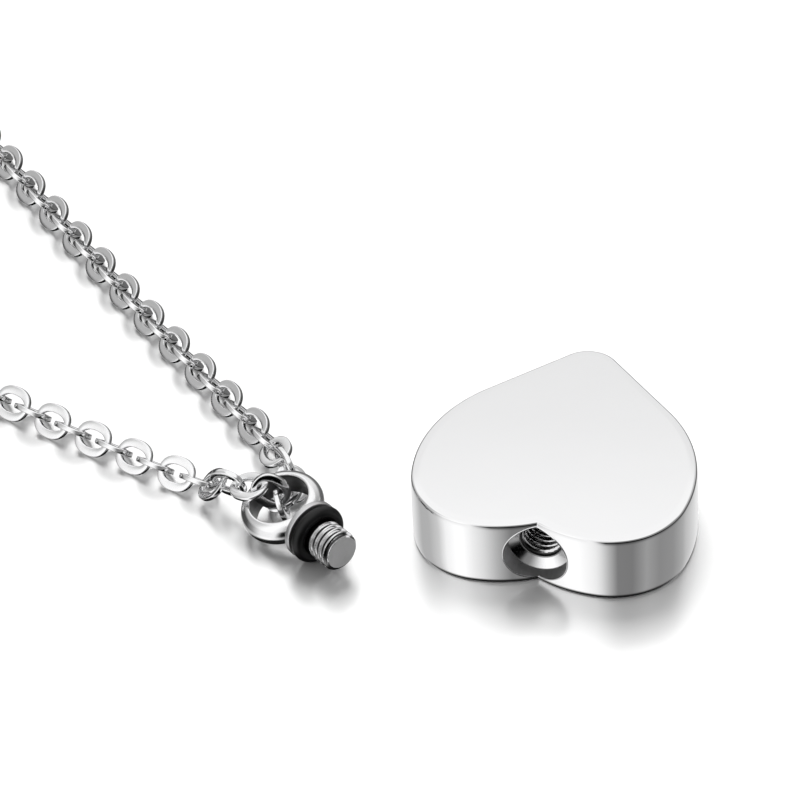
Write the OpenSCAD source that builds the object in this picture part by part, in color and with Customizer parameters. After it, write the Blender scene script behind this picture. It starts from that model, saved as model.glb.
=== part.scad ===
// Keepsake urn necklace, taken apart. A heart with a threaded mouth in its cleft lies on its face,
// its screw bail and the bail's rubber ring lie beside it, and a flat oval link chain runs
// through the bail. Everything rests on z = 0. The heart's cleft faces -Y, its tip +Y.

/* [Heart] */
// Width across the lobes
heart_w = 20; // [18:0.5:22]
// Thickness from face to face
heart_t = 5.4; // [5.2:0.1:6]
// Radius of the rounded rims of both faces
edge_r = 0.25; // [0.1:0.05:0.35]
// Angle that each lobe rises from the cleft, in degrees
cleft_rise = 27; // [22:1:30]

/* [Mouth and chamber] */
// Diameter of the recess that takes the collar and the rubber ring
recess_d = 4.6; // [4.5:0.1:4.8]
// Depth of the recess behind the cleft
recess_depth = 0.8; // [0.8:0.1:1.2]
// Depth of the ash chamber behind the cleft, drill point left out
chamber_depth = 13; // [9:0.5:14]

/* [Thread] */
// Outer diameter of the stud's thread
thread_d = 2.9; // [2.7:0.1:3]
// Distance from one thread ridge to the next
thread_pitch = 0.5; // [0.4:0.05:0.6]
// Diameter of the bore at the ridges of its thread
tap_d = 2.5; // [2.3:0.1:2.6]

/* [Bail] */
// Diameter of the hole in the bail's ring
eye_d = 4.3; // [4:0.1:4.6]
// Greatest outer diameter of the bail's ring
ring_d = 6.1; // [5.8:0.1:6.4]
// Height of the bail's ring along its hole
ring_h = 2; // [1.6:0.1:2.2]
// Diameter of the collar under the ring
collar_d = 4.32; // [4:0.02:4.4]
// Thickness of the collar
collar_t = 0.45; // [0.4:0.05:0.8]

/* [Rubber ring] */
// Cord diameter of the rubber ring
rubber_cord = 0.96; // [0.8:0.02:1]
// Outer diameter of the rubber ring
rubber_d = 4.36; // [4:0.02:4.4]

/* [Chain] */
// Outer length of one link
link_l = 2.9; // [2.8:0.02:3]
// Outer width of one link
link_w = 2.55; // [2.5:0.01:2.6]
// Thickness of the flat stock
link_t = 0.42; // [0.35:0.01:0.44]
// Length of the hole in one link
eye_l = 2.05; // [2:0.01:2.1]
// Width of the hole in one link
eye_w = 1.25; // [1.2:0.01:1.3]
// Distance from one link to the next beside the bail, on the strand nearer to the cleft's side
lower_pitch = 1.83; // [1.75:0.01:1.87]
// The same on the other strand
upper_pitch = 1.87; // [1.75:0.01:1.87]
// The same in the far bend, where the chain is slacker
bend_pitch = 1.81; // [1.75:0.01:1.83]

/* [Hidden] */
steel = [0.78, 0.78, 0.79];
rubber = [0.04, 0.04, 0.045];
fine = 64;

// Outline of one lobe: four arcs and a straight flank. Every arc turns to the right,
// and a heading is the direction of travel from the cleft, in degrees.
lobe_r = 0.275 * heart_w;
side_r = 0.55 * heart_w;
tip_r = 0.12 * heart_w;
crest_end = 0;
lobe_end = -79;
side_end = -136;

// Unit vector from an arc's centre to the point where it has the given heading.
function outward(heading) = [-sin(heading), cos(heading)];

// The crest's radius makes the two lobes measure heart_w across.
crest_r = (heart_w / 2 - side_r - (lobe_r - side_r) * outward(lobe_end)[0]) / sin(cleft_rise);
crest_c = -crest_r * outward(cleft_rise);
lobe_c = crest_c + (crest_r - lobe_r) * outward(crest_end);
side_c = lobe_c + (lobe_r - side_r) * outward(lobe_end);
flank_start = side_c + side_r * outward(side_end);
flank_l = (flank_start[0] - tip_r * outward(side_end)[0]) / -cos(side_end);
flank_end = flank_start + flank_l * [cos(side_end), sin(side_end)];
tip_c = flank_end - tip_r * outward(side_end);
heart_top = lobe_c[1] + lobe_r;
heart_bottom = tip_c[1] - tip_r;
cleft_y = (heart_top + heart_bottom) / 2;

// Steps of the round along each rim.
rim_steps = 3;

// Places along the bail's own axis, from the middle of its ring. The collar's back touches
// the ring's round side in one spot, and a short core stands for the solder around it.
collar_x = ring_d / 2;
solder_x = eye_d / 2 + 0.3;
solder_d = 0.9 * ring_h;
seat_gap = 0.04;
rubber_x = collar_x + collar_t + seat_gap + rubber_cord / 2;
rubber_r = (rubber_d - rubber_cord) / 2;
thread_x = rubber_x + rubber_cord / 2 + seat_gap;
neck_d = rubber_d - 2 * rubber_cord - 2 * seat_gap;
stud_end = 6.8;
root_d = thread_d - 1.1 * thread_pitch;
ridge_flat = 0.2 * thread_pitch;
ridges = floor((stud_end - thread_x) / thread_pitch);

// Bevels, and the arc that bulges the ring's outer side.
eye_bevel = 0.08;
rim_flat = 0.12;
bulge_h = ring_d / 2 - (eye_d / 2 + eye_bevel + rim_flat);
bulge_r = (ring_h * ring_h / 4 + bulge_h * bulge_h) / (2 * bulge_h);
mouth_bevel_h = 0.3;
inner_grooves = 8;

// Where the bail lies: its collar touches z = 0 and its ring is propped on the chain.
bail_at = [-18.8, -7.13];
bail_heading = -37.8;
bail_tilt = 2.6;
bail_roll = 15.6;
bail_z = collar_d / 2 * cos(bail_tilt) - collar_x * sin(bail_tilt);

// A link tilted by 45 degrees stands on one edge, with its middle at this height.
chain_z = (link_w + link_t) / 2 * sin(45);

// Links that climb over the bail's ring, drop through its hole and pass out under its far side.
// Columns: x, y, z of the middle, heading, climb, and roll about the link's length.
AT_BAIL = [
    [-24.36, -5.42, 1.72, -28, 36, 30],
    [-23, -6.04, 2.66, -20, 18, -78],
    [-21.3, -6.64, 3.08, -22, 12, 10],
    [-19.72, -6.7, 3.02, 4, -38, -106],
    [-19.04, -6.46, 1.54, 86, -52, 60],
    [-19.3, -4.96, 0.8, 86, -8, -26],
    [-19.16, -3.42, 0.96, 110, 26, 22],
    [-20.02, -2.04, 1.48, 130, -2, 88],
    [-21.04, -0.68, 1.26, 120, -8, -26]
];

// Far bend of the loop, and points along it by angle.
bend_c = [-150.5, 83.5];
bend_r = 36;
function bend(from, to) =
    [for (k = [0:4]) let(a = from + k * (to - from) / 4) bend_c + bend_r * [cos(a), sin(a)]];

// Middle line of the chain on each side of the bail, seen from above, out to the clasp.
LOWER_RUN = concat([[-25.7, -4.6], [-29.2, -3.5], [-34.3, -1.6], [-41, 1], [-70, 12.6], [-100, 24.6],
                    [-130, 36.6], [-145, 42.6]], bend(249, 188.5));
UPPER_RUN = concat([[-22.05, 0.72], [-26.05, 4.55], [-34.2, 12.4], [-42.1, 20.4], [-51.3, 29.8],
                    [-70.5, 50.1], [-90.3, 71.3], [-110, 92.8]], bend(43.5, 90), bend(105, 171.5));
lower_rolls = [45, 45];
upper_rolls = [45, -45];
curve_steps = 6;

// The clasp fills the gap between the last links of the two runs.
clasp_at = [-186.3, 83.5];
clasp_l = 10.5;
clasp_t = 0.6;
clasp_eye_l = 2;
clasp_rim = 0.45;
clasp_z = (link_w + clasp_t) / 2 * sin(45);

// Points along an arc, its end left to the next one.
function arc(centre, radius, from, to, steps) =
    [for (k = [0:steps - 1]) centre + radius * outward(from + k * (to - from) / steps)];

// One side of the outline moved inwards by inset, from the cleft to the tip.
function side(inset) =
    concat(arc(crest_c, crest_r - inset, asin(crest_c[0] / (crest_r - inset)), crest_end, 12),
           arc(lobe_c, lobe_r - inset, crest_end, lobe_end, 20),
           arc(side_c, side_r - inset, lobe_end, side_end, 16),
           arc(tip_c, tip_r - inset, side_end, -180, 8));

function outline(inset) =
    let(right = side(inset), last = len(right) - 1)
    concat(right, [tip_c - [0, tip_r - inset]], [for (k = [last:-1:1]) [-right[k][0], right[k][1]]]);

// Solid heart with its cleft at the origin, opening to +Y, and a round along both rims.
module heart_blank() {
    low = [for (a = [90:-90 / rim_steps:0]) [edge_r * (1 - cos(90 - a)), edge_r * (1 - sin(90 - a))]];
    rows = concat([for (k = [rim_steps:-1:0]) low[k]], [for (r = low) [r[0], heart_t - r[1]]]);
    n = len(outline(0));
    top = len(rows) - 1;
    polyhedron(
        points = [for (r = rows) for (p = outline(r[0])) [p[0], p[1], r[1]]],
        faces = concat([[for (j = [n - 1:-1:0]) j]],
                       [for (i = [0:top - 1]) for (j = [0:n - 1])
                           let(k = (j + 1) % n) [i * n + j, i * n + k, (i + 1) * n + k, (i + 1) * n + j]],
                       [[for (j = [0:n - 1]) top * n + j]]));
}

// Threaded mouth and ash chamber, bored along -Y from the cleft at the origin.
module mouth() {
    recess_out = heart_top + 1;
    chamber_l = chamber_depth - recess_depth;
    drill_point = tap_d / 2 * tan(30);
    rotate([90, 0, 0]) {
        translate([0, 0, -recess_out]) cylinder(h = recess_out + recess_depth, d = recess_d, $fn = fine);
        translate([0, 0, recess_depth - 0.1]) cylinder(h = chamber_l + 0.1, d = tap_d, $fn = fine);
        translate([0, 0, chamber_depth - 0.01])
            cylinder(h = drill_point, d1 = tap_d, d2 = 0, $fn = fine);
        translate([0, 0, recess_depth - 0.01]) mouth_bevel();
        for (i = [0:inner_grooves - 1])
            translate([0, 0, recess_depth + mouth_bevel_h + (i + 0.5) * thread_pitch]) inner_groove();
    }
}

// Bevel that leads the stud into the thread.
module mouth_bevel() {
    rotate_extrude($fn = fine)
        polygon([[0, 0], [tap_d / 2 + mouth_bevel_h, 0], [tap_d / 2, mouth_bevel_h], [0, mouth_bevel_h]]);
}

// One groove of the inner thread.
module inner_groove() {
    half = thread_pitch / 2 - ridge_flat / 2;
    rotate_extrude($fn = fine)
        polygon([[tap_d / 2 - 0.2, -half], [tap_d / 2, -half], [thread_d / 2 + 0.05, 0], [tap_d / 2, half],
                 [tap_d / 2 - 0.2, half]]);
}

module heart_body() {
    color(steel)
        rotate(180)
            translate([0, -cleft_y, 0])
                difference() {
                    heart_blank();
                    translate([0, 0, heart_t / 2]) mouth();
                }
}

// Puts what is built along +X in its place beside the heart.
module lay_bail() {
    translate([bail_at[0], bail_at[1], bail_z])
        rotate([bail_roll, -bail_tilt, bail_heading])
            children();
}

// Barrel-shaped ring with a straight hole and a fine bevel inside each rim.
module bail_ring() {
    bulge_c = ring_d / 2 - bulge_r;
    inner = eye_d / 2;
    half = ring_h / 2;
    rotate_extrude($fn = 2 * fine)
        intersection() {
            translate([bulge_c, 0]) circle(bulge_r, $fn = fine);
            polygon([[inner + eye_bevel, -half], [ring_d, -half], [ring_d, half], [inner + eye_bevel, half],
                     [inner, half - eye_bevel], [inner, -half + eye_bevel]]);
        }
}

// Threaded stud as a core with one ridge for each turn, and a bevelled end.
module stud() {
    ridge_r = thread_d / 2;
    root_r = root_d / 2;
    rise = (thread_pitch - ridge_flat) / 2;
    profile = concat(
        [[0, collar_x], [neck_d / 2, collar_x], [neck_d / 2, thread_x], [root_r, thread_x]],
        [for (i = [0:ridges - 1])
            for (p = [[root_r, 0.02], [ridge_r, rise], [ridge_r, rise + ridge_flat],
                      [root_r, thread_pitch - 0.02]])
                [p[0], thread_x + i * thread_pitch + p[1]]],
        [[root_r, stud_end], [0, stud_end]]);
    rotate([0, 90, 0])
        rotate_extrude($fn = fine) polygon(profile);
}

module screw_bail() {
    color(steel)
        lay_bail() {
            bail_ring();
            translate([solder_x, 0, 0])
                rotate([0, 90, 0]) cylinder(h = collar_x - solder_x + 0.1, d = solder_d, $fn = fine);
            translate([collar_x, 0, 0])
                rotate([0, 90, 0]) cylinder(h = collar_t, d = collar_d, $fn = fine);
            stud();
        }
}

module rubber_ring() {
    color(rubber)
        lay_bail()
            translate([rubber_x, 0, 0])
                rotate([0, 90, 0])
                    rotate_extrude($fn = fine)
                        translate([rubber_r, 0]) circle(rubber_cord / 2, $fn = 32);
}

// Flat oval of the given length and width, centred.
module oval(length, width) {
    shift = (length - width) / 2;
    square([2 * shift, width], center = true);
    for (side = [-shift, shift]) translate([side, 0]) circle(d = width, $fn = fine);
}

// One link, its length along X.
module link() {
    translate([0, 0, -link_t / 2])
        linear_extrude(link_t)
            difference() {
                oval(link_l, link_w);
                oval(eye_l, eye_w);
            }
}

// Smooth curve through a list of points, a few steps to each stretch.
function curve_at(p, i, t) =
    let(a = p[max(i - 1, 0)], b = p[i], c = p[i + 1], d = p[min(i + 2, len(p) - 1)])
    b + t * ((c - a) / 2
        + t * ((a - 2.5 * b + 2 * c - 0.5 * d) + t * (1.5 * b - 1.5 * c + 0.5 * d - 0.5 * a)));
function curve(p) =
    concat([for (i = [0:len(p) - 2]) for (k = [0:curve_steps - 1]) curve_at(p, i, k / curve_steps)],
           [p[len(p) - 1]]);

// Distance along a path to each of its points.
function running(path, i = 1, sum = [0]) =
    i == len(path) ? sum : running(path, i + 1, concat(sum, [sum[i - 1] + norm(path[i] - path[i - 1])]));

// Place and heading at a distance along a path.
function on_path(path, run, dist) =
    let(i = max([for (k = [0:len(run) - 2]) if (run[k] <= dist) k]),
        step = path[i + 1] - path[i],
        place = path[i] + step * (dist - run[i]) / (run[i + 1] - run[i]))
    [place[0], place[1], atan2(step[1], step[0])];

// Links along one side of the chain, a little closer in the bend, turned a quarter from one
// to the next. Rolls holds those of the first and the last link.
module run_of_links(points, pitch, rolls) {
    path = curve(points);
    run = running(path);
    total = run[len(run) - 1];
    odd = rolls[0] == rolls[1] ? 0 : 1;
    mean = (pitch + bend_pitch) / 2;
    last = 2 * round((total / mean - odd) / 2) + odd;
    for (k = [0:last])
        let(part = k / last,
            dist = total * part * (pitch + (bend_pitch - pitch) * part / 2) / mean,
            spot = on_path(path, run, dist))
            translate([spot[0], spot[1], chain_z])
                rotate([k % 2 == 0 ? rolls[0] : -rolls[0], 0, spot[2]])
                    link();
}

module chain() {
    color(steel) {
        for (row = AT_BAIL)
            translate([row[0], row[1], row[2]])
                rotate([row[5], -row[4], row[3]])
                    link();
        run_of_links(LOWER_RUN, lower_pitch, lower_rolls);
        run_of_links(UPPER_RUN, upper_pitch, upper_rolls);
    }
}

// Plain clasp: one long flat piece with a hook eye and a tail eye, turned against the links in it.
module clasp() {
    hook_l = clasp_l - clasp_eye_l - 3 * clasp_rim;
    color(steel)
        translate([clasp_at[0], clasp_at[1], clasp_z])
            rotate([-45, 0, 90])
                translate([0, 0, -clasp_t / 2])
                    linear_extrude(clasp_t)
                        difference() {
                            oval(clasp_l, link_w);
                            translate([-(clasp_l - hook_l) / 2 + clasp_rim, 0]) oval(hook_l, eye_w);
                            translate([(clasp_l - clasp_eye_l) / 2 - clasp_rim, 0]) oval(clasp_eye_l, eye_w);
                        }
}

heart_body();
screw_bail();
rubber_ring();
chain();
clasp();
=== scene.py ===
# %% [markdown]
# # A keepsake urn necklace, taken apart
#
# The object is a polished steel heart, hollow so that it can hold a pinch of ash. Its lid is
# a small screw bail with a black rubber ring, and a flat oval link chain runs through the bail.
# The heart lies on its back with its threaded mouth open, and the bail lies beside it.
# The frame holds every piece at its real place and size, in metres.

# %% Load the frame
import bpy
import math
import random
from mathutils import Matrix, Vector


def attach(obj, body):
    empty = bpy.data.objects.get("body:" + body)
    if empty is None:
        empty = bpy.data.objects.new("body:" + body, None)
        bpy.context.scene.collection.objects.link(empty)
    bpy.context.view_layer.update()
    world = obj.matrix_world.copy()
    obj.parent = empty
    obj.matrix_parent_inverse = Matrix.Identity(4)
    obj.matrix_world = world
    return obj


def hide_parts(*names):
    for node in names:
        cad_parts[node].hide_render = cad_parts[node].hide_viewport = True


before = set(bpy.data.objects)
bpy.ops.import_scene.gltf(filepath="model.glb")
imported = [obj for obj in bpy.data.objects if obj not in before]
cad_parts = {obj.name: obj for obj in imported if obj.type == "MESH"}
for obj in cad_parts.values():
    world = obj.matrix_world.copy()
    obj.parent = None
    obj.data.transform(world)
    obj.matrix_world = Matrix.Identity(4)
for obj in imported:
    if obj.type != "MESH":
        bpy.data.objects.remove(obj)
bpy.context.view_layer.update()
MM = 0.001

# %% [markdown]
# ## The camera
#
# Small jewellery is photographed from far off with a long lens, so that both ends of a piece
# keep the same scale. The camera looks down about 40 degrees and leans 3 degrees.
# Its focal length comes from how large the heart's width of 20 mm stands in the picture.

# %% Camera
CAMERA_AT = Vector((67.69, -283.71, 258.75)) * MM
LOOKS_AT = Vector((-14.07, 8.01, 0)) * MM
LEAN = math.radians(-3)
LENS = 247.5

camera_data = bpy.data.cameras.new("camera")
camera_data.lens = LENS
camera_data.sensor_width = 36
camera_data.clip_start = 0.01
camera = bpy.data.objects.new("camera", camera_data)
bpy.context.scene.collection.objects.link(camera)
sight = LOOKS_AT - CAMERA_AT
turn = sight.to_track_quat("-Z", "Y").to_matrix().to_4x4()
camera.matrix_world = Matrix.Translation(CAMERA_AT) @ turn @ Matrix.Rotation(LEAN, 4, "Z")
bpy.context.scene.camera = camera
print("camera stands off", round(sight.length / MM), "mm")

# %% [markdown]
# ## Helpers for meshes
#
# Nearly every piece here is turned, bent or stamped: a section that is carried round or along
# something. So one helper makes a piece from points and faces, and one joins rings of points
# into a skin. Sharp edges are marked by angle, so that round faces stay smooth.

# %% Mesh helpers
SHARP = math.radians(32)


def piece(name, points, faces, finish, sharp=SHARP):
    """A new object from points in mm, faces and its finish."""
    mesh = bpy.data.meshes.new(name)
    mesh.from_pydata([tuple(Vector(p) * MM) for p in points], [], faces)
    mesh.validate()
    for polygon in mesh.polygons:
        polygon.use_smooth = True
    mesh.set_sharp_from_angle(angle=sharp)
    made = bpy.data.objects.new(name, mesh)
    bpy.context.scene.collection.objects.link(made)
    made.data.materials.append(finish)
    return made


def skin(rows, columns, close_rows=False, start=0):
    """Four-sided faces over rows of points; the columns always close."""
    faces = []
    for i in range(rows if close_rows else rows - 1):
        here, there = start + i * columns, start + (i + 1) % rows * columns
        for j in range(columns):
            k = (j + 1) % columns
            faces.append((here + j, here + k, there + k, there + j))
    return faces


def lathe(profile, steps, axis="Z", close=False):
    """Points and faces of a profile of (radius, place) turned round an axis."""
    points = []
    for radius, place in profile:
        for j in range(steps):
            a = 2 * math.pi * j / steps
            u, v = radius * math.cos(a), radius * math.sin(a)
            points.append((u, v, place) if axis == "Z" else (place, u, v))
    faces = skin(len(profile), steps, close)
    if not close:
        faces.append(tuple(reversed(range(steps))))
        faces.append(tuple(range(len(points) - steps, len(points))))
    return points, faces


print("4 points carried over 3 rows give", len(skin(3, 4)), "faces")

# %% [markdown]
# ## Uneven finishes
#
# No polished piece is even all over. A picture of steel could be wrapped round the pieces, but
# noise by place on the piece needs no unwrapping and stays fine from near. One helper makes the
# noise and one lets the roughness follow it.

# %% Noise helpers
def noise(tree, scale, detail):
    """Noise by place on the piece."""
    place = tree.nodes.new("ShaderNodeTexCoord")
    made = tree.nodes.new("ShaderNodeTexNoise")
    made.inputs["Scale"].default_value = scale
    made.inputs["Detail"].default_value = detail
    tree.links.new(place.outputs["Object"], made.inputs["Vector"])
    return made.outputs["Fac"]


def vary_roughness(tree, grain, low, high):
    """Let the roughness wander from low to high with the grain."""
    span = tree.nodes.new("ShaderNodeMapRange")
    span.inputs["To Min"].default_value = low
    span.inputs["To Max"].default_value = high
    tree.links.new(grain, span.inputs["Value"])
    tree.links.new(span.outputs["Result"], tree.nodes["Principled BSDF"].inputs["Roughness"])


HAZE = 260
print("the haze on the steel has cells of about", round(1000 / HAZE, 1), "mm")

# %% [markdown]
# ## Steel
#
# All the metal is one stainless steel. The heart is buffed to a mirror and the bail a little
# less. The chain is tumbled, which leaves its edges bright and its flats faintly grey, and the
# collar and threads are only turned. Metal has no colour but what it mirrors, so the work is in
# the roughness, which a fine noise breaks up, and in the slight waves that the wheel leaves.

# %% Steel finishes
WAVE_DEPTH = 0.05 * MM
COOL = 1.005


def steel(name, tone, roughness, spread, wave, grain):
    """A steel: its tone, its roughness and spread, and the depth and fineness of its waves."""
    made = bpy.data.materials.new(name)
    made.use_nodes = True
    tree = made.node_tree
    shader = tree.nodes["Principled BSDF"]
    shader.inputs["Base Color"].default_value = (tone, tone, tone * COOL, 1)
    shader.inputs["Metallic"].default_value = 1
    vary_roughness(tree, noise(tree, HAZE, 5), roughness, roughness + spread)
    bump = tree.nodes.new("ShaderNodeBump")
    bump.inputs["Strength"].default_value = wave
    bump.inputs["Distance"].default_value = WAVE_DEPTH
    tree.links.new(noise(tree, grain, 2), bump.inputs["Height"])
    tree.links.new(bump.outputs["Normal"], shader.inputs["Normal"])
    print(name, "has tone", tone, "and roughness", roughness, "to", round(roughness + spread, 2))
    return made


heart_steel = steel("heart_steel", 0.94, 0.04, 0.04, 0.05, 220)
bail_steel = steel("bail_steel", 0.98, 0.13, 0.08, 0.1, 900)
chain_steel = steel("chain_steel", 0.95, 0.08, 0.07, 0.15, 1500)
collar_steel = steel("collar_steel", 0.76, 0.3, 0.14, 0.4, 2500)
thread_steel = steel("thread_steel", 0.92, 0.1, 0.08, 0.15, 3000)

# %% [markdown]
# ## Steel that no wheel has reached, darkened with painted shade
#
# The cutting tool leaves the recess, the grooves of the threads and the ring's hole rough. They
# are the same steel and rougher, and their much darker tone is painted shade for these hollows. The
# recess's seat is the one inner face that is cut clean, so that the rubber can close on it. The
# stud's end is sawn and sanded: a matt face that scatters light like a grey paint.

# %% Unpolished steel with painted shade
seat_steel = steel("seat_steel", 0.98, 0.12, 0.05, 0.08, 1200)
# The recess, the thread grooves and the ring's hole take dark tones that paint shade into these
# hollows.
shaded_recess_steel = steel("shaded_recess_steel", 0.5, 0.38, 0.12, 0.15, 1500)
shaded_groove_steel = steel("shaded_groove_steel", 0.1, 0.3, 0.1, 0.1, 3000)
shaded_eye_steel = steel("shaded_eye_steel", 0.15, 0.26, 0.1, 0.1, 900)
end_steel = steel("end_steel", 0.7, 0.4, 0.1, 0.2, 2500)
END_METAL = 0.5
end_steel.node_tree.nodes["Principled BSDF"].inputs["Metallic"].default_value = END_METAL
print("the sawn end mirrors by", END_METAL, "and scatters the rest")

# %% [markdown]
# ## Solder
#
# Solder is a soft grey metal with pits. It starts as one more steel with fine deep waves, which
# are its dents. A noise that is cut off sharply then paints the dark pits.

# %% Solder finish
solder = steel("solder", 0.7, 0.2, 0.2, 0.3, 3000)
solder_tree = solder.node_tree
pit_edge = solder_tree.nodes.new("ShaderNodeValToRGB")
pit_edge.color_ramp.elements[0].position = 0.44
pit_edge.color_ramp.elements[0].color = (0.03, 0.03, 0.03, 1)
pit_edge.color_ramp.elements[1].position = 0.52
pit_edge.color_ramp.elements[1].color = (0.7, 0.7, 0.7, 1)
solder_tree.links.new(noise(solder_tree, 3200, 3), pit_edge.inputs["Fac"])
solder_shader = solder_tree.nodes["Principled BSDF"]
solder_tree.links.new(pit_edge.outputs["Color"], solder_shader.inputs["Base Color"])
pit_top = pit_edge.color_ramp.elements[1].position
print("pits lie where the noise is under", round(pit_top, 2))

# %% [markdown]
# ## Rubber
#
# The seal is a moulded ring of black nitrile rubber. It isn't quite black, and it has a soft
# wide highlight: a dark colour, a middle roughness and a fine grain are enough.

# %% Rubber finish
rubber = bpy.data.materials.new("rubber")
rubber.use_nodes = True
rubber_tree = rubber.node_tree
rubber_shader = rubber_tree.nodes["Principled BSDF"]
rubber_shader.inputs["Base Color"].default_value = (0.004, 0.004, 0.0042, 1)
rubber_shader.inputs["Specular IOR Level"].default_value = 0.35
vary_roughness(rubber_tree, noise(rubber_tree, 6000, 2), 0.28, 0.42)
print("the rubber's tone is", round(rubber_shader.inputs["Base Color"].default_value[0], 4))

# %% [markdown]
# ## The heart's outline
#
# A pressed heart pendant is drawn with a compass. From the cleft, each lobe is a flat crest arc,
# a tight lobe arc and a long side arc, then a straight flank runs into the round tip. Arcs that
# share their end directions join without a kink, so each centre follows from the one before.

# %% Compass points
HEART_W = 20
HEART_T = 5.4
RISE = math.radians(27)
LOBE_END, SIDE_END = math.radians(-79), math.radians(-136)
LOBE_R, SIDE_R, TIP_R = 0.275 * HEART_W, 0.55 * HEART_W, 0.12 * HEART_W


def outward(heading):
    """The way out of the heart, square to the heading of its edge."""
    return Vector((-math.sin(heading), math.cos(heading)))


CREST_R = (HEART_W / 2 - SIDE_R - (LOBE_R - SIDE_R) * outward(LOBE_END).x) / math.sin(RISE)
CREST_C = -CREST_R * outward(RISE)
LOBE_C = CREST_C + (CREST_R - LOBE_R) * outward(0)
SIDE_C = LOBE_C + (LOBE_R - SIDE_R) * outward(LOBE_END)
FLANK_START = SIDE_C + SIDE_R * outward(SIDE_END)
FLANK_L = (FLANK_START.x - TIP_R * outward(SIDE_END).x) / -math.cos(SIDE_END)
FLANK_END = FLANK_START + FLANK_L * Vector((math.cos(SIDE_END), math.sin(SIDE_END)))
TIP_C = FLANK_END - TIP_R * outward(SIDE_END)
CLEFT_Y = (LOBE_C.y + LOBE_R + TIP_C.y - TIP_R) / 2
radii = [round(r, 2) for r in (CREST_R, LOBE_R, SIDE_R, TIP_R)]
print("radii of crest, lobe, side and tip, mm:", radii)

# %% [markdown]
# ## Walking round the heart
#
# One half is walked from the cleft to the tip, and the other is its mirror image. The walk can
# also keep a distance inwards: each arc keeps its centre and loses some radius. A curve object
# with a bevel would round the rims too, but loops of the same count can be joined at will.

# %% Heart outline
CREST_STEPS, LOBE_STEPS, SIDE_STEPS, TIP_STEPS = 20, 44, 40, 14


def arc(centre, radius, start, end, steps):
    """Points of an arc from the heading start, without the last one at end."""
    return [centre + radius * outward(start + (end - start) * i / steps) for i in range(steps)]


def heart_loop(inset):
    """The heart seen from above, cleft towards -Y, moved inwards by inset."""
    crest = CREST_R - inset
    start = math.asin(min(1, CREST_C.x / crest))
    right = arc(CREST_C, crest, start, 0, CREST_STEPS)
    right += arc(LOBE_C, LOBE_R - inset, 0, LOBE_END, LOBE_STEPS)
    right += arc(SIDE_C, SIDE_R - inset, LOBE_END, SIDE_END, SIDE_STEPS)
    right += arc(TIP_C, TIP_R - inset, SIDE_END, -math.pi, TIP_STEPS)
    tip = TIP_C + (TIP_R - inset) * outward(-math.pi)
    left = [Vector((-p.x, p.y)) for p in reversed(right[1:])]
    return [(-p.x, CLEFT_Y - p.y) for p in right + [tip] + left]


outline = heart_loop(0)
width = 2 * max(x for x, y in outline)
print("heart", round(width, 2), "mm wide, cleft at y =", round(CLEFT_Y, 2), "mm")

# %% [markdown]
# ## The heart's body
#
# The body is that outline carried up from one face to the other, with a quarter round at both
# rims. The buffing wheel takes a hair off the faces and walls as they come near a rim, so some
# loops of points sink there by a few hundredths. A mirror shows every bend in the shading, and
# these loops keep the big faces flat while they lead the eye softly into the round.

# %% Heart body
RIM_STEPS = 8
RIM_R = 0.22
RIM_IN, RIM_UP = 0.03, 0.023
RIM_START, RIM_SWEEP = 6, 78
FACE_WEAR = [(0.7, 0), (0.6, 0.001), (0.5, 0.005), (0.4, 0.012), (0.32, 0.021)]
WALL_WEAR = [(0.018, 0.45), (0.008, 0.75), (0.002, 1.1), (0, 1.5)]


def heart_rows():
    """Rows from the underside to the upper face, as (inset from the outline, height)."""
    rows = list(FACE_WEAR)
    for i in range(RIM_STEPS + 1):
        a = math.radians(RIM_START + RIM_SWEEP * i / RIM_STEPS)
        rows.append((RIM_IN + RIM_R * (1 - math.sin(a)), RIM_UP + RIM_R * (1 - math.cos(a))))
    rows += WALL_WEAR
    return rows + [(inset, HEART_T - z) for inset, z in reversed(rows)]


heart_points = []
for inset, z in heart_rows():
    heart_points += [(x, y, z) for x, y in heart_loop(inset)]
around = len(outline)
heart_faces = skin(len(heart_points) // around, around)
heart_faces.append(tuple(reversed(range(around))))
heart_faces.append(tuple(range(len(heart_points) - around, len(heart_points))))
heart = piece("heart", heart_points, heart_faces, heart_steel)
print("the heart is built from", len(heart_points) // around, "loops of", around, "points")

# %% [markdown]
# ## The mouth
#
# The mouth is drilled from the cleft, and a turned cutter does the same here: its profile is the
# hole's own shape. First comes a shallow recess for the collar, then the cone that a drill's
# point leaves in its floor. The cone is the seat of the rubber, and it mirrors the light on one
# side and the dark on the other. Behind it are a wider stretch, which the thread will line, and
# the bore that leads to the ash chamber.

# %% Mouth cutter
RECESS_R, RECESS_DEPTH = 2.3, 0.8
SEAT_DEPTH = RECESS_DEPTH + 0.35
BORE_R, CHAMBER_DEPTH = 1.25, 13
THREAD_R, PITCH = 1.45, 0.5
THREAD_L = 4.4
LEAD = 0.06
FINE_EDGE = 0.03
DRILL_POINT = 0.7
AXIS_R = 0.001
AHEAD = -2
MOUTH_STEPS = 96
SEAT_SEGMENT = 3

groove_r = THREAD_R + 0.07
mouth_profile = [
    (AXIS_R, AHEAD), (RECESS_R, AHEAD), (RECESS_R, RECESS_DEPTH - FINE_EDGE),
    (RECESS_R - FINE_EDGE, RECESS_DEPTH), (groove_r + LEAD, SEAT_DEPTH),
    (groove_r, SEAT_DEPTH + LEAD), (groove_r, SEAT_DEPTH + THREAD_L + 0.1),
    (BORE_R, SEAT_DEPTH + THREAD_L + 0.2), (BORE_R, CHAMBER_DEPTH),
    (AXIS_R, CHAMBER_DEPTH + DRILL_POINT),
]
cutter_points, cutter_faces = lathe(mouth_profile, MOUTH_STEPS, "X")
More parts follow.
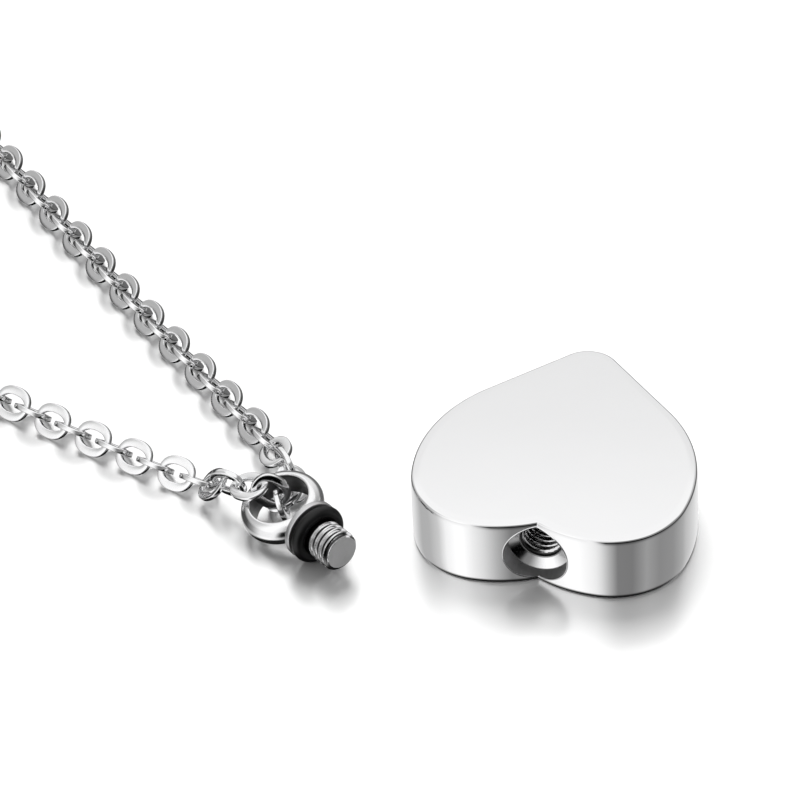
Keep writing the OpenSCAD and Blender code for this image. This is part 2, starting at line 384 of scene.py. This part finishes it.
# The hole's walls take a darker steel that paints shade into the recess; the seat keeps the clean
# bright steel.
cutter = piece("cutter", cutter_points, cutter_faces, shaded_recess_steel)
cutter.data.materials.append(seat_steel)
for polygon in cutter.data.polygons:
    if polygon.index // MOUTH_STEPS == SEAT_SEGMENT:
        polygon.material_index = 1
cleft = Vector((0, CLEFT_Y, HEART_T / 2)) * MM
cutter.matrix_world = Matrix.Translation(cleft) @ Matrix.Rotation(math.pi / 2, 4, "Z")
print("the seat of the rubber narrows to", round(groove_r, 2), "mm at", SEAT_DEPTH, "mm deep")

# %% [markdown]
# ## Drilling
#
# A Boolean modifier takes the cutter's volume out of the heart. Its exact solver leaves clean
# edges, and it hands the cutter's finishes over to the walls of the hole. The result becomes
# the heart's own mesh, its edges are marked once more, and the heart then stands for the
# frame's heart.

# %% Drill the mouth
drill = heart.modifiers.new("drill", "BOOLEAN")
drill.object = cutter
drill.solver = "EXACT"
drill.material_mode = "TRANSFER"
bpy.context.view_layer.update()
drill_graph = bpy.context.evaluated_depsgraph_get()
drilled = bpy.data.meshes.new_from_object(heart.evaluated_get(drill_graph))
heart.modifiers.clear()
heart.data = drilled
bpy.data.objects.remove(cutter)
for polygon in heart.data.polygons:
    polygon.use_smooth = True
heart.data.set_sharp_from_angle(angle=SHARP)
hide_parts("heart_body")
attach(heart, "root")
print("heart:", len(heart.data.polygons), "faces")

# %% [markdown]
# ## The lip of the mouth
#
# Drilling throws up a fine burr where the recess breaks through the two lobes, and the wheel
# rounds it. Here it is a thin cord laid along the edge. For each point of the recess's circle,
# the heart's outline gives how far forward the wall stands.

# %% Lip of the mouth
LIP_R = 0.045
LIP_STEPS, LIP_SIDES = 160, 8
MOUTH_REACH = 4
front = sorted(p for p in outline if p[1] < CLEFT_Y + 0.01 and abs(p[0]) < MOUTH_REACH)


def wall_y(x):
    """How far forward the heart's front wall stands at x."""
    for (xa, ya), (xb, yb) in zip(front, front[1:]):
        if xa <= x <= xb:
            return ya + (yb - ya) * (x - xa) / (xb - xa)


lip_points = []
for i in range(LIP_STEPS):
    a = 2 * math.pi * (i + 0.5) / LIP_STEPS
    outwards = Vector((math.cos(a), 0, math.sin(a)))
    spot = Vector((0, wall_y(RECESS_R * math.cos(a)), HEART_T / 2)) + RECESS_R * outwards
    for j in range(LIP_SIDES):
        b = 2 * math.pi * j / LIP_SIDES
        lip_points.append(spot + LIP_R * (math.cos(b) * outwards + Vector((0, math.sin(b), 0))))
lip = piece("mouth_lip", lip_points, skin(LIP_STEPS, LIP_SIDES, close_rows=True), seat_steel)
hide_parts("heart_body")
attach(lip, "root")
reach = CLEFT_Y - wall_y(RECESS_R - 0.01)
print("the wall stands", round(reach, 2), "mm further out at the mouth's side")

# %% [markdown]
# ## The thread in the mouth
#
# A real thread is one groove that winds inwards. Turned round the bore, the radius at each place
# follows a saw of flat-topped teeth that moves on by one pitch a turn. The piece is a thin
# sleeve that lines the drilled bore, so that its crests are the size of the tapped hole.

# %% Thread in the mouth
FLANK = 4.2
TOP = 1.55
THREAD_STEPS = 96
ROWS_A_TURN = 24
EASE_ROWS = 16
WALL = 0.01


def tooth(turns):
    """Height of a thread tooth, 0 at the root and 1 on the flat top."""
    part = turns % 1
    return max(0, min(1, TOP - abs(part - 0.5) * FLANK))


sleeve_rows = int(THREAD_L / PITCH * ROWS_A_TURN)
sleeve = []


def sleeve_ring(row, radius_at):
    """Add one ring of points; radius_at gives the radius for a depth and a turn."""
    depth = SEAT_DEPTH + LEAD + THREAD_L * row / sleeve_rows
    for j in range(THREAD_STEPS):
        a = 2 * math.pi * j / THREAD_STEPS
        radius = radius_at(depth, j / THREAD_STEPS)
        sleeve.append((radius * math.cos(a), CLEFT_Y + depth, HEART_T / 2 + radius * math.sin(a)))


for i in range(sleeve_rows + 1):
    rise = (groove_r - WALL - BORE_R) * min(1, i / EASE_ROWS)
    sleeve_ring(i, lambda depth, turn: groove_r - WALL - rise * tooth(depth / PITCH - turn))
for i in (sleeve_rows, 0):
    sleeve_ring(i, lambda depth, turn: groove_r)
sleeve_faces = skin(sleeve_rows + 3, THREAD_STEPS, close_rows=True)
inner_thread = piece("inner_thread", sleeve, sleeve_faces, thread_steel)
print("inner thread:", round(THREAD_L / PITCH), "turns")

# %% [markdown]
# ## Painted shade in the grooves
#
# The bottom of a thread lies in shade, and a dark steel paints that shade in. Each face gets its
# finish by its distance from the axis, so the painted dark line winds with the groove and needs no
# mask image.

# %% Painted shade in the grooves
def paint_groove_shade(made, is_groove):
    """Give the faces in the grooves the dark rough steel, which paints shade into them."""
    made.data.materials.append(shaded_groove_steel)
    for polygon in made.data.polygons:
        if is_groove(polygon.center / MM):
            polygon.material_index = 1


THREAD_H = groove_r - BORE_R
# The deep faces of the inner thread get painted shade.
paint_groove_shade(inner_thread, lambda c: math.hypot(c.x, c.z - HEART_T / 2) > BORE_R + 0.6 * THREAD_H)
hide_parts("heart_body")
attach(inner_thread, "root")
dark = sum(polygon.material_index for polygon in inner_thread.data.polygons)
print(dark, "of", len(inner_thread.data.polygons), "faces of the inner thread are dark")

# %% [markdown]
# ## The bail's ring
#
# The ring is a short length of thick tube with a barrelled outside and a straight hole. It lies
# beside the heart, tipped a little because the chain is under it. The ring, collar and stud are
# made round their own axis first, and one transform then lays them down together.

# %% Bail ring
EYE_R, RING_R, RING_H = 2.15, 3.05, 2
COLLAR_X, COLLAR_T, COLLAR_R = RING_R, 0.45, 2.16
BAIL_HEADING, BAIL_TILT, BAIL_ROLL = -37.8, 2.6, 15.6
BAIL_AT = (-18.8, -7.13)

tilt = math.radians(BAIL_TILT)
bail_z = COLLAR_R * math.cos(tilt) - COLLAR_X * math.sin(tilt)
lay_bail = (Matrix.Translation(Vector((*BAIL_AT, bail_z)) * MM)
            @ Matrix.Rotation(math.radians(BAIL_HEADING), 4, "Z")
            @ Matrix.Rotation(-tilt, 4, "Y") @ Matrix.Rotation(math.radians(BAIL_ROLL), 4, "X"))

BARREL_STEPS = 24
BEVEL_ANGLES = (0.5, 1.0, math.pi / 2)
rim, bevel = 0.12, 0.08
bulge = RING_R - (EYE_R + bevel + rim)
bulge_r = (RING_H ** 2 / 4 + bulge ** 2) / (2 * bulge)
ring_profile = [(EYE_R, -RING_H / 2 + bevel), (EYE_R, RING_H / 2 - bevel)]
ring_profile += [(EYE_R + bevel * (1 - math.cos(a)), RING_H / 2 - bevel + bevel * math.sin(a))
                 for a in BEVEL_ANGLES]
for i in range(BARREL_STEPS + 1):
    z = RING_H / 2 * math.cos(math.pi * i / BARREL_STEPS)
    ring_profile.append((RING_R - bulge_r + math.sqrt(bulge_r ** 2 - z ** 2), z))
ring_profile += [(EYE_R + bevel * (1 - math.cos(a)), -RING_H / 2 + bevel - bevel * math.sin(a))
                 for a in reversed(BEVEL_ANGLES)]
RING_STEPS = 160
ring_points, ring_faces = lathe(ring_profile, RING_STEPS, "Z", close=True)
ring = piece("bail_ring", ring_points, ring_faces, bail_steel)
# The wall of the ring's hole takes a very dark steel that paints shade into the hole.
ring.data.materials.append(shaded_eye_steel)
for polygon in ring.data.polygons:
    if polygon.index < RING_STEPS:
        polygon.material_index = 1
print("ring hole", 2 * EYE_R, "mm, outside", 2 * RING_R, "mm")

# %% [markdown]
# ## The collar
#
# The collar is a turned disc that presses the rubber ring into the heart's recess. The disc's
# edge has a small round, which catches a bright line. A cylinder with a bevel would do as well,
# but a turned profile puts the round's points just where they are needed.

# %% Collar
COLLAR_STEPS, EDGE_STEPS = 96, 4
COLLAR_EDGE, COLLAR_HOLE = 0.08, 0.3


def rounded_disc(radius, low, high, edge, hole):
    """Profile of a disc from low to high with rounded edges, open at its hole."""
    profile = [(hole, low)]
    for i in range(EDGE_STEPS + 1):
        a = math.pi / 2 * i / EDGE_STEPS
        profile.append((radius - edge * (1 - math.sin(a)), low + edge * (1 - math.cos(a))))
    for i in range(EDGE_STEPS + 1):
        a = math.pi / 2 * i / EDGE_STEPS
        profile.append((radius - edge * (1 - math.cos(a)), high - edge * (1 - math.sin(a))))
    return profile + [(hole, high)]


collar_front = COLLAR_X + COLLAR_T
collar_profile = rounded_disc(COLLAR_R, COLLAR_X, collar_front, COLLAR_EDGE, COLLAR_HOLE)
collar_points, collar_faces = lathe(collar_profile, COLLAR_STEPS, "X")
collar = piece("bail_collar", collar_points, collar_faces, collar_steel)
print("collar", 2 * COLLAR_R, "mm across and", COLLAR_T, "mm thick")

# %% [markdown]
# ## The threaded stud
#
# The stud carries the same winding tooth as the mouth. The tooth fades in at the neck, and
# a bevel cuts it off at the end. Its grooves are darkened with painted shade and its end is sawn
# off flat. A stack of plain rings would be simpler, but a real thread climbs, and its painted dark
# grooves slant.

# %% Stud
STUD_START, STUD_END = 4.54, 6.8
NECK_X = collar_front - 0.1
ROOT_R = THREAD_R - 0.55 * PITCH
END_R, END_SLOPE = 1.23, 1.1
STUD_ROWS = 190
NECK_ROWS = 20
STUD_SHARP = math.radians(40)

stud_points = []
for j in range(THREAD_STEPS):
    a = 2 * math.pi * j / THREAD_STEPS
    stud_points.append((NECK_X, ROOT_R * math.cos(a), ROOT_R * math.sin(a)))
for i in range(STUD_ROWS + 1):
    x = STUD_START + (STUD_END - STUD_START) * i / STUD_ROWS
    ease = min(1, i / NECK_ROWS)
    for j in range(THREAD_STEPS):
        a = 2 * math.pi * j / THREAD_STEPS
        radius = ROOT_R + (THREAD_R - ROOT_R) * tooth(x / PITCH - j / THREAD_STEPS) * ease
        radius = min(radius, END_R + (STUD_END - x) * END_SLOPE)
        stud_points.append((x, radius * math.cos(a), radius * math.sin(a)))
stud_faces = skin(STUD_ROWS + 2, THREAD_STEPS)
stud_faces.append(tuple(reversed(range(THREAD_STEPS))))
stud_faces.append(tuple(range(len(stud_points) - THREAD_STEPS, len(stud_points))))
stud = piece("bail_stud", stud_points, stud_faces, thread_steel, STUD_SHARP)
# The stud's groove faces get painted shade, except near its end.
GROOVE_R = ROOT_R + 0.4 * (THREAD_R - ROOT_R)
paint_groove_shade(stud, lambda c: c.x < STUD_END - 0.15 and math.hypot(c.y, c.z) < GROOVE_R)
stud.data.materials.append(end_steel)
stud.data.polygons[-1].material_index = 2
print("stud:", round((STUD_END - STUD_START) / PITCH, 1), "turns of thread")

# %% [markdown]
# ## The solder
#
# The collar's flat back only meets the round ring in a small patch, and solder fills the wedge
# around it. The bead flares out towards the collar. It is uneven and full of small dark pits,
# because it is polished last and least. Seeded random numbers give the same bead on every run.

# %% Solder bead
BEAD_SEED = 7
BEAD_ROWS, BEAD_STEPS = 6, 56
BEAD_START, BEAD_L = COLLAR_X - 0.36, 0.38
HALF_WIDTH, HALF_HEIGHT = 1.3, 0.72
WIDTH_FLARE, HEIGHT_FLARE = 0.3, 0.34
SWELL, GRIT = 0.06, 0.012

bead_rng = random.Random(BEAD_SEED)
bead_points = []
swell = [bead_rng.uniform(-SWELL, SWELL) for j in range(BEAD_STEPS)]
for i in range(BEAD_ROWS + 1):
    part = i / BEAD_ROWS
    flare = part ** 2
    for j in range(BEAD_STEPS):
        a = 2 * math.pi * j / BEAD_STEPS
        uneven = (swell[j] + swell[j - 1] + swell[(j + 1) % BEAD_STEPS]) / 3
        uneven += bead_rng.uniform(-GRIT, GRIT)
        along = (HALF_WIDTH + WIDTH_FLARE * flare + uneven) * math.cos(a)
        up = (HALF_HEIGHT + HEIGHT_FLARE * flare + uneven) * math.sin(a)
        bead_points.append((BEAD_START + BEAD_L * part, along, up))
bead_faces = skin(BEAD_ROWS + 1, BEAD_STEPS)
bead_faces.append(tuple(reversed(range(BEAD_STEPS))))
bead_faces.append(tuple(range(BEAD_ROWS * BEAD_STEPS, (BEAD_ROWS + 1) * BEAD_STEPS)))
bead = piece("solder_bead", bead_points, bead_faces, solder)
print("solder bead:", len(bead_faces), "faces")

# %% [markdown]
# ## Laying the bail down
#
# Ring, collar, stud and bead were all made round their own axis. One transform lays them beside
# the heart, and together they stand for the frame's one solid. The points are moved and not the
# objects, so every piece keeps the frame's origin.

# %% Lay the bail down
for part in (ring, collar, stud, bead):
    part.data.transform(lay_bail)
    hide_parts("screw_bail")
    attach(part, "root")
print("the bail's ring tips", BAIL_TILT, "degrees onto the chain")

# %% [markdown]
# ## The rubber ring
#
# A rubber ring is a plain round cord bent into a circle. It sits loose on the stud against
# the collar. Turning a circle on the lathe gives it, in the same place on the bail's axis.

# %% Rubber ring
CORD_R, SEAL_R = 0.48, 1.70
CORD_STEPS, SEAL_STEPS = 32, 96
SEAL_GAP = 0.04
SEAL_X = collar_front + SEAL_GAP + CORD_R
seal_profile = []
for i in range(CORD_STEPS):
    a = 2 * math.pi * i / CORD_STEPS
    seal_profile.append((SEAL_R + CORD_R * math.cos(a), SEAL_X + CORD_R * math.sin(a)))
seal_points, seal_faces = lathe(seal_profile, SEAL_STEPS, "X", close=True)
seal = piece("rubber_seal", seal_points, seal_faces, rubber)
seal.data.transform(lay_bail)
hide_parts("rubber_ring")
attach(seal, "root")
print("rubber ring", round(2 * (SEAL_R + CORD_R), 2), "mm across")

# %% [markdown]
# ## One link
#
# The chain's links are cut from flat stock and rounded by tumbling: an oval with an oval hole,
# wider at its sides than at its ends, and with soft edges. A rounded rectangle carried round
# the oval gives both, and one link is enough for the whole chain.

# %% Link
LINK_L, LINK_W, LINK_T = 2.9, 2.55, 0.42
HOLE_L, HOLE_W = 2.05, 1.25
SOFT = 0.08
CROWN = 0.02
FULLNESS = 2.25


def oval(length, width, angle):
    """A point of an oval that is a little fuller than an ellipse."""
    x, y = math.cos(angle), math.sin(angle)
    full = (abs(x) ** FULLNESS + abs(y) ** FULLNESS) ** (-1 / FULLNESS)
    return Vector((length / 2 * x * full, width / 2 * y * full))


def link_section(corner_steps):
    """Section of the flat stock, as (outer side 1 to inner side 0, reach beyond, height)."""
    section = []
    for across, up, first in ((1, 1, 0), (0, 1, 1), (0, -1, 2), (1, -1, 3)):
        for k in range(corner_steps + 1):
            a = math.pi / 2 * (first + k / corner_steps)
            flat = up * (LINK_T / 2 - SOFT - CROWN)
            section.append((across, SOFT * math.cos(a), flat + SOFT * math.sin(a)))
        if across == 1 and up == 1 or across == 0 and up == -1:
            section.append((0.5, 0, up * LINK_T / 2))
    return section


def make_link(steps, corner_steps):
    """Points and faces of one link, its length along X."""
    section = link_section(corner_steps)
    points = []
    for i in range(steps):
        a = 2 * math.pi * (i + 0.5) / steps
        outer, inner = oval(LINK_L, LINK_W, a), oval(HOLE_L, HOLE_W, a)
        band = (outer - inner).length
        way = (outer - inner) / band
        for across, beyond, height in section:
            spot = inner + way * (SOFT + (band - 2 * SOFT) * across + beyond)
            points.append(Vector((spot.x, spot.y, height)))
    return points, skin(steps, len(section), close_rows=True)


near_link = make_link(56, 3)
far_link = make_link(24, 2)
print("a near link has", len(near_link[1]), "faces, a far one", len(far_link[1]))

# %% [markdown]
# ## The way the chain lies
#
# The chain is a whole necklace. Two strands run from the bail to the far bend, where the clasp
# is. Beside the bail each link is placed one by one: they climb over the ring, drop through its
# hole and pass out below it. A simulated drop could settle them too, but never twice alike.
# The first list has a row for each of these links, with its place (x, y, z) in mm and its
# heading, climb and roll in degrees. The other two are spots on the sheet under the strands.

# %% Chain tables
AT_BAIL = [
    (-24.36, -5.42, 1.72, -28, 36, 30),
    (-23, -6.04, 2.66, -20, 18, -78),
    (-21.3, -6.64, 3.08, -22, 12, 10),
    (-19.72, -6.7, 3.02, 4, -38, -106),
    (-19.04, -6.46, 1.54, 86, -52, 60),
    (-19.3, -4.96, 0.8, 86, -8, -26),
    (-19.16, -3.42, 0.96, 110, 26, 22),
    (-20.02, -2.04, 1.48, 130, -2, 88),
    (-21.04, -0.68, 1.26, 120, -8, -26),
]
BEND_C, BEND_R = Vector((-150.5, 83.5)), 36


def bend(start, end):
    """Five points of the far bend, from one angle to another."""
    angles = [math.radians(start + k * (end - start) / 4) for k in range(5)]
    return [BEND_C + BEND_R * Vector((math.cos(a), math.sin(a))) for a in angles]


LOWER_SPOTS = [(-25.7, -4.6), (-29.2, -3.5), (-34.3, -1.6), (-41, 1), (-70, 12.6), (-100, 24.6),
               (-130, 36.6), (-145, 42.6)]
UPPER_SPOTS = [(-22.05, 0.72), (-26.05, 4.55), (-34.2, 12.4), (-42.1, 20.4), (-51.3, 29.8),
               (-70.5, 50.1), (-90.3, 71.3), (-110, 92.8)]
LOWER_RUN = [Vector(p) for p in LOWER_SPOTS] + bend(249, 188.5)
UPPER_RUN = [Vector(p) for p in UPPER_SPOTS] + bend(43.5, 90) + bend(105, 171.5)
print("the strands pass over", len(LOWER_RUN), "and", len(UPPER_RUN), "points")

# %% [markdown]
# ## Links along a curve
#
# Each strand is a smooth curve through its points, cut into short straight steps. Walking along
# it and setting down a link at every pitch is what a jeweller does with a ruler. The links lean
# half-way over to one side and to the other in turn, so that each stands across its neighbours.
# The pitch shrinks a little towards the far bend, where the chain lies slack. An array along
# a curve would give every link the same pitch and roll.

# %% Chain places
LOWER_PITCH, UPPER_PITCH, BEND_PITCH = 1.83, 1.87, 1.81
CURVE_STEPS = 6
LEANING = 45
CHAIN_Z = (LINK_W + LINK_T) / 2 * math.sin(math.radians(LEANING))


def curve_at(p, i, t):
    """The smooth curve between points i and i + 1, at the share t of the way."""
    a, b, c, d = p[max(i - 1, 0)], p[i], p[i + 1], p[min(i + 2, len(p) - 1)]
    second = a - 2.5 * b + 2 * c - 0.5 * d
    third = 1.5 * b - 1.5 * c + 0.5 * d - 0.5 * a
    return b + t * ((c - a) / 2 + t * (second + t * third))


def links_along(points, pitch, first, last_roll):
    """Place, heading and roll of each link along a curve through the points."""
    path = []
    for i in range(len(points) - 1):
        path += [curve_at(points, i, k / CURVE_STEPS) for k in range(CURVE_STEPS)]
    path.append(points[-1])
    run = [0]
    for a, b in zip(path, path[1:]):
        run.append(run[-1] + (b - a).length)
    odd = 0 if first == last_roll else 1
    mean = (pitch + BEND_PITCH) / 2
    last = 2 * round((run[-1] / mean - odd) / 2) + odd
    spots = []
    for k in range(last + 1):
        part = k / last
        far = run[-1] * part * (pitch + (BEND_PITCH - pitch) * part / 2) / mean
        i = max(n for n in range(len(run) - 1) if run[n] <= far)
        step = path[i + 1] - path[i]
        spot = path[i] + step * (far - run[i]) / (run[i + 1] - run[i])
        roll = first if k % 2 == 0 else -first
        heading = math.degrees(math.atan2(step.y, step.x))
        spots.append((spot.x, spot.y, CHAIN_Z, heading, 0, roll))
    return spots


places = AT_BAIL + links_along(LOWER_RUN, LOWER_PITCH, LEANING, LEANING)
places += links_along(UPPER_RUN, UPPER_PITCH, LEANING, -LEANING)
print(len(places), "links")

# %% [markdown]
# ## The chain
#
# All the links are copies of two meshes: a fine one within 70 mm of the heart, where the camera
# sees them, and a plainer one beyond. Copies in one mesh keep the piece count low.

# %% Chain
NEAR = 70
LINK_SHARP = math.radians(50)


def join_links(name, link, spots):
    """One mesh with a copy of the link at each of the places."""
    points, faces = [], []
    for x, y, z, heading, climb, roll in spots:
        stand = (Matrix.Translation((x, y, z)) @ Matrix.Rotation(math.radians(heading), 4, "Z")
                 @ Matrix.Rotation(math.radians(-climb), 4, "Y")
                 @ Matrix.Rotation(math.radians(roll), 4, "X"))
        base = len(points)
        points += [stand @ p for p in link[0]]
        faces += [tuple(base + k for k in face) for face in link[1]]
    made = piece(name, points, faces, chain_steel, LINK_SHARP)
    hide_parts("chain")
    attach(made, "root")
    print(name, "has", len(spots), "links and", 2 * len(faces), "triangles")


def is_near(spot):
    return spot[0] > -NEAR


join_links("chain_near", near_link, [spot for spot in places if is_near(spot)])
join_links("chain_far", far_link, [spot for spot in places if not is_near(spot)])

# %% [markdown]
# ## The clasp
#
# The clasp at the far end keeps the frame's own plain solid, because no picture shows it. It only
# takes the chain's finish.

# %% Clasp finish
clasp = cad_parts["clasp"]
clasp.data.materials.clear()
clasp.data.materials.append(chain_steel)
print("the clasp has", len(clasp.data.polygons), "faces")

# %% [markdown]
# ## The table
#
# The necklace lies on a white sheet with a faint gloss, so that each piece stands on a soft
# blurred picture of itself. The sheet is far larger than the necklace and its edge is never seen.
# Mirror rays pass through it, so the steel mirrors the studio alone and the heart's walls keep
# clean upright bands.

# %% Table
HALF = 900
sheet_white = bpy.data.materials.new("table_white")
sheet_white.use_nodes = True
sheet_shader = sheet_white.node_tree.nodes["Principled BSDF"]
sheet_shader.inputs["Base Color"].default_value = (0.92, 0.92, 0.92, 1)
sheet_shader.inputs["Metallic"].default_value = 0.55
sheet_shader.inputs["Roughness"].default_value = 0.27
corners = [(-HALF, -HALF, 0), (HALF, -HALF, 0), (HALF, HALF, 0), (-HALF, HALF, 0)]
table = piece("table", corners, [(0, 1, 2, 3)], sheet_white)
table.visible_glossy = False
print("the sheet is", 2 * HALF, "mm square")

# %% [markdown]
# ## The studio
#
# Polished steel shows nothing but its surroundings, so the studio is drawn first and the lamp
# comes after. Round the table stand white and grey cards: CARDS gives their brightness by
# compass angle, from -180 to 180 degrees, 0 towards +X. Upright walls mirror them. GAP is the
# space at table height, mostly dark, and it draws the thin dark line along every rounded edge.
# FLAG is a black flag on the camera's side that makes that line thicker in front.

# %% Studio tables
CARDS = [
    (-180, 0.46), (-160, 0.62), (-146, 0.95), (-130, 1.08), (-118, 1.08), (-106, 0.94), (-96, 0.76),
    (-84, 0.46), (-72, 0.21), (-50, 0.2), (-28, 0.34), (-6, 0.26), (20, 0.29), (45, 0.42),
    (85, 0.83), (115, 0.86), (135, 0.76), (160, 0.45), (180, 0.46),
]

GAP = [
    (-180, 0.06), (-160, 0.3), (-140, 0.85), (-104, 0.95), (-95, 0.45), (-88, 0.035), (-30, 0.035),
    (20, 0.06), (90, 0.15), (135, 0.05), (180, 0.06),
]

FLAG = [(-180, 1), (-100, 1), (-88, 0), (-20, 0), (0, 1), (180, 1)]
print("the brightest card is", max(tone for angle, tone in CARDS))

# %% [markdown]
# ## Painting by direction
#
# The world's colour may depend on the direction that a ray leaves in. A picture of a studio
# could do the same, but a few nodes are exact and easy to change. Three small helpers write
# them: one gives a socket its value, one does a sum, and one fades from one tone to another.

# %% Sky helpers
world = bpy.data.worlds.new("studio")
world.use_nodes = True
bpy.context.scene.world = world
sky_nodes, sky_links = world.node_tree.nodes, world.node_tree.links


def feed(socket, value):
    """Give a socket a number, or link it to another socket."""
    if hasattr(value, "links"):
        sky_links.new(value, socket)
    else:
        socket.default_value = value


def calc(operation, *values):
    """The result of one sum."""
    made = sky_nodes.new("ShaderNodeMath")
    made.operation = operation
    for socket, value in zip(made.inputs, values):
        feed(socket, value)
    return made.outputs[0]


def fade(value, low, high, to_low, to_high):
    """Smooth step from to_low at low to to_high at high."""
    made = sky_nodes.new("ShaderNodeMapRange")
    made.interpolation_type = "SMOOTHSTEP"
    feed(made.inputs["Value"], value)
    feed(made.inputs["From Min"], low)
    feed(made.inputs["From Max"], high)
    feed(made.inputs["To Min"], to_low)
    feed(made.inputs["To Max"], to_high)
    return made.outputs["Result"]


print("the sky starts with", len(sky_nodes), "nodes")

# %% [markdown]
# ## Height and compass angle
#
# A ray's direction is an arrow one unit long. Its Z is its height, and the arc tangent of its Y
# and X is its compass angle, stretched here to run from 0 to 1. A colour ramp with the angles as
# its stops then gives the tone between any two entries of a table.

# %% Ray direction
way = sky_nodes.new("ShaderNodeTexCoord")
split = sky_nodes.new("ShaderNodeSeparateXYZ")
sky_links.new(way.outputs["Generated"], split.inputs["Vector"])
height = split.outputs["Z"]
compass = calc("ARCTAN2", split.outputs["Y"], split.outputs["X"])
share = calc("MULTIPLY_ADD", compass, 0.5 / math.pi, 0.5)


def by_compass(tones):
    """Brightness by compass angle, from a list of (angle, tone)."""
    made = sky_nodes.new("ShaderNodeValToRGB")
    feed(made.inputs["Fac"], share)
    stops = made.color_ramp.elements
    while len(stops) < len(tones):
        stops.new(0.5)
    for stop, (angle, tone) in zip(stops, tones):
        stop.position = (angle + 180) / 360
    for stop, (angle, tone) in zip(stops, tones):
        stop.color = (tone, tone, tone, 1)
    return made.outputs["Color"]


print("a ray's height and compass angle come from", way.name)

# %% [markdown]
# ## The sky in layers
#
# From below to above: black straight down, the cards, the gap at table height, the cards again
# and a white tent on top. The tent's edge is lower behind the necklace, because the heart's flat
# upper face mirrors that part of the sky and has to be white. The flag shades the gap.

# %% Sky
cards = by_compass(CARDS)
gap = by_compass(GAP)
flag = by_compass(FLAG)
behind = fade(split.outputs["Y"], 0.3, 0.6, 0, 1)
lower = fade(height, -0.81, -0.73, 0.01, cards)
middle = fade(height, -0.625, -0.42, lower, gap)
walls = fade(height, 0.05, 0.3, middle, cards)
over_camera = fade(height, 0.7, 0.85, walls, 1)
over_back = fade(height, 0.635, 0.68, walls, 0.98)
tent = fade(behind, 0, 1, over_camera, over_back)
flag_foot = fade(height, -0.45, -0.3, 1, flag)
flag_shade = fade(height, 0.12, 0.26, flag_foot, 1)
upper = calc("MULTIPLY", tent, flag_shade)
sky = sky_nodes["Background"]
feed(sky.inputs["Color"], upper)
sky.inputs["Strength"].default_value = 1.0
print("the sky takes", len(sky_nodes), "nodes")

# %% [markdown]
# ## The lamp
#
# One large soft lamp stands behind the necklace on the left, and throws the short soft shadows
# that fall towards the camera. Mirrors don't show it, because the sky already draws what they
# show. The Standard view keeps the white sheet white.

# %% Lamp
LAMP_AT = Vector((-120, 300, 480)) * MM
LAMP_AIM = Vector((-10, 0, 0)) * MM
LAMP_SIZE = 0.3
LAMP_WATTS = 4.4

lamp_data = bpy.data.lights.new("key", "AREA")
lamp_data.shape = "RECTANGLE"
lamp_data.size = LAMP_SIZE
lamp_data.size_y = LAMP_SIZE
lamp_data.energy = LAMP_WATTS
lamp = bpy.data.objects.new("key", lamp_data)
bpy.context.scene.collection.objects.link(lamp)
lamp_way = LAMP_AIM - LAMP_AT
lamp_turn = lamp_way.to_track_quat("-Z", "Y").to_matrix().to_4x4()
lamp.matrix_world = Matrix.Translation(LAMP_AT) @ lamp_turn
lamp.visible_glossy = False
bpy.context.scene.view_settings.view_transform = "Standard"
print("the lamp stands", round(lamp_way.length / MM), "mm away")
